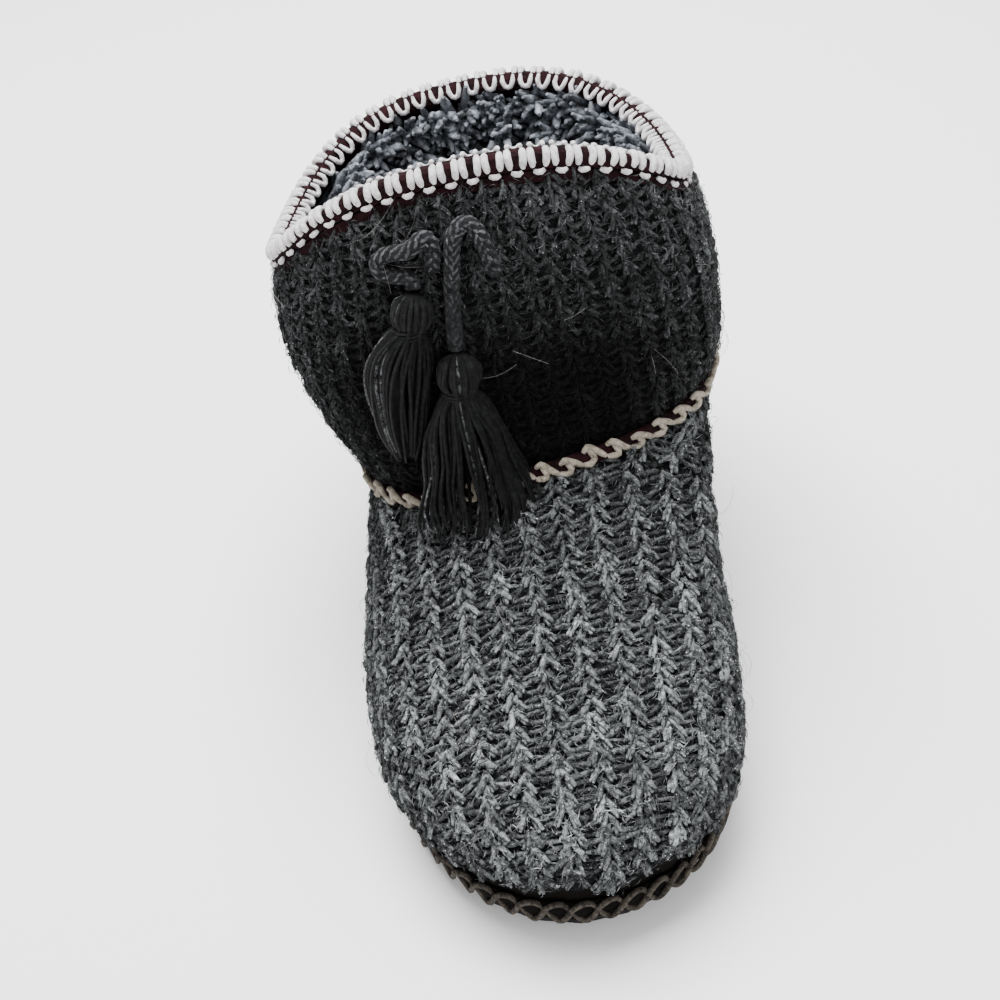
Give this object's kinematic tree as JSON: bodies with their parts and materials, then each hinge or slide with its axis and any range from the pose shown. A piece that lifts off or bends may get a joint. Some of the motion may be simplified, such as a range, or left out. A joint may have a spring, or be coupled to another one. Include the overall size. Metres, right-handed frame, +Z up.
{
  "type": "knitted slipper boot",
  "caption": "Right knitted slipper boot with a slack ribbed shaft, pile lining, chain-stitched trims, soft flat sole and a tied cord with tassels.",
  "frame": {"origin": "on the floor, under the middle of the shoe without its tie", "axes": "+Z up, the toe points to -Y, the lateral side is -X"},
  "size_m": [0.13, 0.247, 0.1863],
  "materials": {
    "knit": "chunky charcoal rib knit with a fine silvery thread",
    "rand": "dark brown suede-like cloth",
    "outsole": "matt dark soft sole",
    "pile": "clumped slate grey pile",
    "binding": "dark maroon tape",
    "collar_yarn": "white chain-stitched yarn",
    "ankle_yarn": "beige chain-stitched yarn",
    "sole_yarn": "taupe chain-stitched yarn",
    "tie_cord": "black crocheted cord",
    "tassel_yarn": "black yarn"
  },
  "bodies": {
    "root": {"upper": "knit", "shaft": "knit", "rand": "rand", "outsole": "outsole", "insole": "pile", "lining": "pile", "collar_binding": "binding", "collar_braid": "collar_yarn", "ankle_braid": "ankle_yarn", "sole_braid": "sole_yarn", "tie_right": "tie_cord", "tie_left": "tie_cord", "tassel_right": "tassel_yarn", "tassel_left": "tassel_yarn"}
  },
  "joints": []
}
